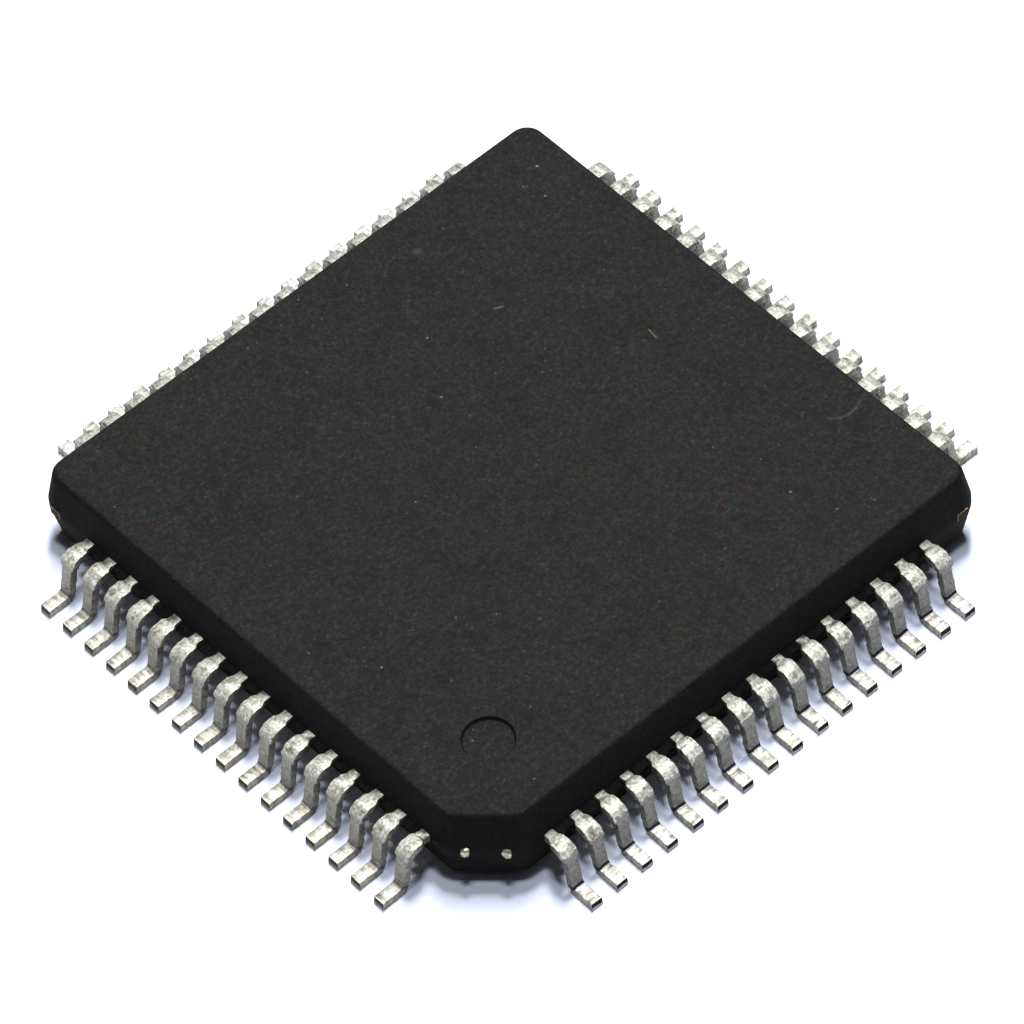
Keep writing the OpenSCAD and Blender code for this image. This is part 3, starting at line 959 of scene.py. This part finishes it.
def studio_world(stage):
    """Faint light from all round, and plain white where the camera, metal or glass looks past the floor."""
    world = bpy.data.worlds.new("studio")
    world.use_nodes = True
    tree = world.node_tree
    tree.nodes.clear()
    path = add(tree, "ShaderNodeLightPath").outputs
    seen = path["Is Camera Ray"]
    for ray in ("Is Glossy Ray", "Is Transmission Ray"):
        seen = add(tree, MATH, (seen, path[ray]), operation="MAXIMUM")
    around = add(tree, "ShaderNodeBackground", {"Color": linear("#e6eaff"), "Strength": stage.surround})
    behind = add(tree, "ShaderNodeBackground", {"Color": grey(1.0), "Strength": 1.0})
    light = add(tree, "ShaderNodeMixShader", (seen, around, behind))
    add(tree, "ShaderNodeOutputWorld", (light,))
    bpy.context.scene.world = world


def floor_paper(stage):
    """White paper: burnt out to plain white in the open, cool and soft in the part's shadow."""
    material, tree, surface = new_material("white_paper", "ShaderNodeBsdfDiffuse")
    seen = add(tree, "ShaderNodeLightPath").outputs["Is Camera Ray"]
    paper = add(tree, MIX, {0: seen, 6: stage.floor[:], 7: stage.paper_white[:]}, data_type="RGBA")
    feed(tree, surface, {"Color": paper})
    return material


def add_lamp(stage, name, watts, width, lean):
    """A long lamp that faces the part and lies from left to right, leaning from overhead to the far side."""
    lamp = bpy.data.lights.new(name, "AREA")
    lamp.shape = "RECTANGLE"
    lamp.size = stage.lamp_length
    lamp.size_y = width
    lamp.energy = watts
    far = Matrix.Rotation(stage.lamp_turn, 3, "Z") @ Vector((1, 0, 0))
    right = Matrix.Rotation(stage.lamp_turn - math.pi / 2, 3, "Z") @ Vector((1, 0, 0))
    towards = math.sin(lean) * far + Vector((0, 0, math.cos(lean)))
    holder = new_object(name, lamp)
    holder.location = towards * stage.lamp_distance + right * stage.lamp_aside
    holder.rotation_euler = towards.to_track_quat("Z", "Y").to_euler()


class FLATPACK_OT_stage(bpy.types.Operator):
    """Sets the floor, the lamps, the world and the camera"""

    bl_idname = "flatpack.stage"
    bl_label = "Stage"

    def execute(self, context):
        stage = context.scene.flatpack_stage
        scene = context.scene
        scene.view_settings.view_transform = "Standard"
        studio_world(stage)

        data = bpy.data.meshes.new("floor")
        reach, below = 1.0, -0.01 * MM
        corners = [(x * reach, y * reach, below) for x, y in ((-1, -1), (1, -1), (1, 1), (-1, 1))]
        data.from_pydata(corners, [], [(0, 1, 2, 3)])
        data.materials.append(floor_paper(stage))
        new_object("floor", data)

        # Side by side overhead, from the camera's side to the far side: how far each one leans, in degrees
        for name, watts, width, lean in (
            ("front_lamp", stage.front_lamp, stage.lamp_width, -7),
            ("back_lamp", stage.back_lamp, stage.lamp_width, 9),
            ("softbox", stage.softbox, stage.softbox_width, 22),
        ):
            add_lamp(stage, name, watts, width, math.radians(lean))

        lens = bpy.data.cameras.new("camera")
        lens.lens = stage.lens
        lens.sensor_width = 36
        lens.clip_start = 0.001
        lens.clip_end = 10
        camera = new_object("camera", lens)
        a, e = stage.azimuth, stage.elevation
        back = Vector((math.sin(a) * math.cos(e), -math.cos(a) * math.cos(e), math.sin(e)))
        turn = back.to_track_quat("Z", "Y").to_matrix().to_4x4() @ Matrix.Rotation(stage.roll, 4, "Z")
        camera.matrix_world = Matrix.Translation(Vector(stage.target) + back * stage.distance) @ turn
        scene.camera = camera
        return {"FINISHED"}


# ---- Add-on ----


class FLATPACK_PT_panel(bpy.types.Panel):
    """Lists the pieces of the quad flat pack"""

    bl_idname = "FLATPACK_PT_panel"
    bl_label = "Quad Flat Pack"
    bl_space_type = "VIEW_3D"
    bl_region_type = "UI"
    bl_category = "Quad Flat Pack"

    def draw(self, context):
        for operator in OPERATORS:
            self.layout.operator(operator.bl_idname)


GROUPS = {"flatpack_body": FlatPackBody, "flatpack_leads": FlatPackLeads, "flatpack_stage": FlatPackStage}
OPERATORS = (FLATPACK_OT_stage, FLATPACK_OT_body, FLATPACK_OT_leads, FLATPACK_OT_inside)


def register():
    for cls in (*GROUPS.values(), *OPERATORS, FLATPACK_PT_panel):
        bpy.utils.register_class(cls)
    for name, group in GROUPS.items():
        setattr(bpy.types.Scene, name, PointerProperty(type=group))


def unregister():
    for name in GROUPS:
        delattr(bpy.types.Scene, name)
    for cls in reversed((*GROUPS.values(), *OPERATORS, FLATPACK_PT_panel)):
        bpy.utils.unregister_class(cls)


def main():
    register()
    for operator in OPERATORS:
        group, name = operator.bl_idname.split(".")
        if getattr(getattr(bpy.ops, group), name)() != {"FINISHED"}:
            raise RuntimeError(f"{operator.bl_label} was not finished")


if __name__ == "__main__":
    main()
